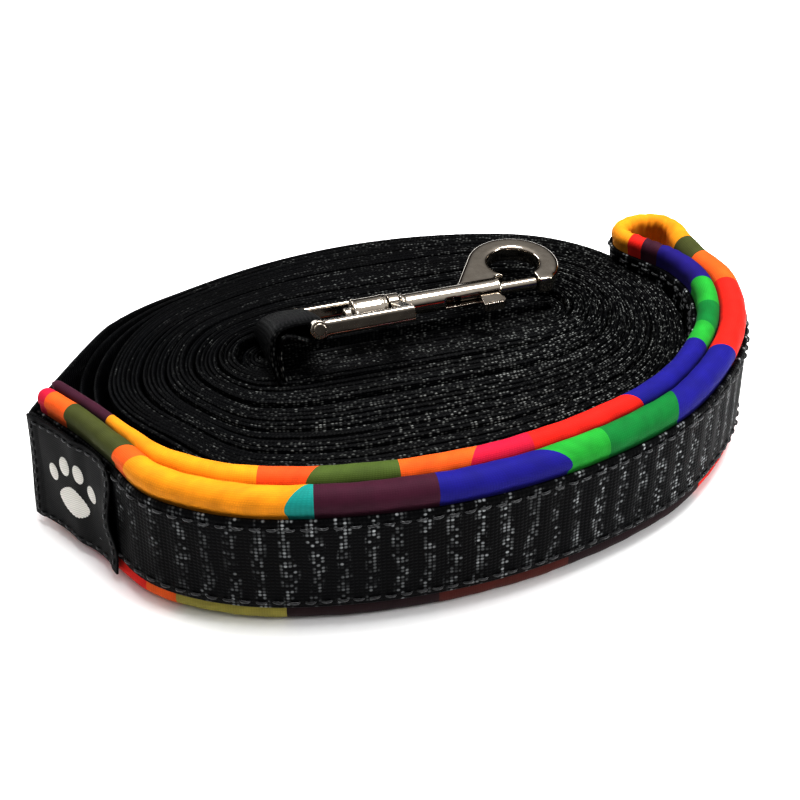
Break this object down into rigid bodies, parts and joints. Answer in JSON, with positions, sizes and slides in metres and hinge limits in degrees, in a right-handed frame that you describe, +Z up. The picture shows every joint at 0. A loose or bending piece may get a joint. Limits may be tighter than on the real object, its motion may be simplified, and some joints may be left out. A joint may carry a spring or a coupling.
{
  "type": "training leash",
  "caption": "Long flat dog training leash wound into an oval coil, padded loop handle folded round its front, swivel bolt snap lying on top.",
  "frame": {"origin": "middle of the coil's oval outline, on the surface that the leash lies on", "axes": "+X along the coil's long axis, from the handle's sewn root to its free bend; +Z up; the handle lies along the -Y side"},
  "size_m": [0.1868, 0.1178, 0.0423],
  "materials": {
    "webbing": "woven matt polypropylene",
    "patchwork_cover": "smooth printed softshell in many colours",
    "foam": "soft open foam",
    "thread": "black sewing thread",
    "label": "woven satin label",
    "nickel": "polished nickel plate",
    "spring_steel": "drawn wire"
  },
  "bodies": {
    "leash": {"coil_winding": "webbing", "tail_run": "webbing", "end_loop": "webbing", "handle_inner_cover": "patchwork_cover", "handle_inner_foam": "foam", "handle_outer_cover": "patchwork_cover", "handle_outer_foam": "foam", "handle_bend_cover": "patchwork_cover", "handle_bend_foam": "foam", "handle_inner_webbing": "webbing", "handle_outer_webbing": "webbing", "handle_bend_webbing": "webbing", "handle_root": "patchwork_cover", "handle_stitching": "thread", "root_tack": "thread", "label": "label", "label_stitching": "thread"},
    "eye": {"swivel_yoke": "nickel", "eye_pin": "nickel"},
    "hook": {"snap_hook": "nickel", "bolt_spring": "spring_steel"},
    "bolt": {"gate_pin": "nickel", "thumb_knob": "nickel"}
  },
  "joints": [
    {"name": "eye_pivot", "type": "hinge", "parent": "leash", "child": "eye", "pos_m": [-0.022, 0.0069, 0.033], "axis": [-0.0311, -0.8905, 0.454], "range_deg": [0, 120]},
    {"name": "swivel", "type": "hinge", "parent": "eye", "child": "hook", "pos_m": [-0.022, 0.0069, 0.033], "axis": [0.9994, -0.0349, 0], "range_deg": [0, 180]},
    {"name": "bolt_slide", "type": "slide", "parent": "hook", "child": "bolt", "axis": [-0.9994, 0.0349, 0], "range_m": [0, 0.009], "stiffness_N_per_m": 120, "springref_m": -0.01, "deforming": ["bolt_spring"]}
  ]
}
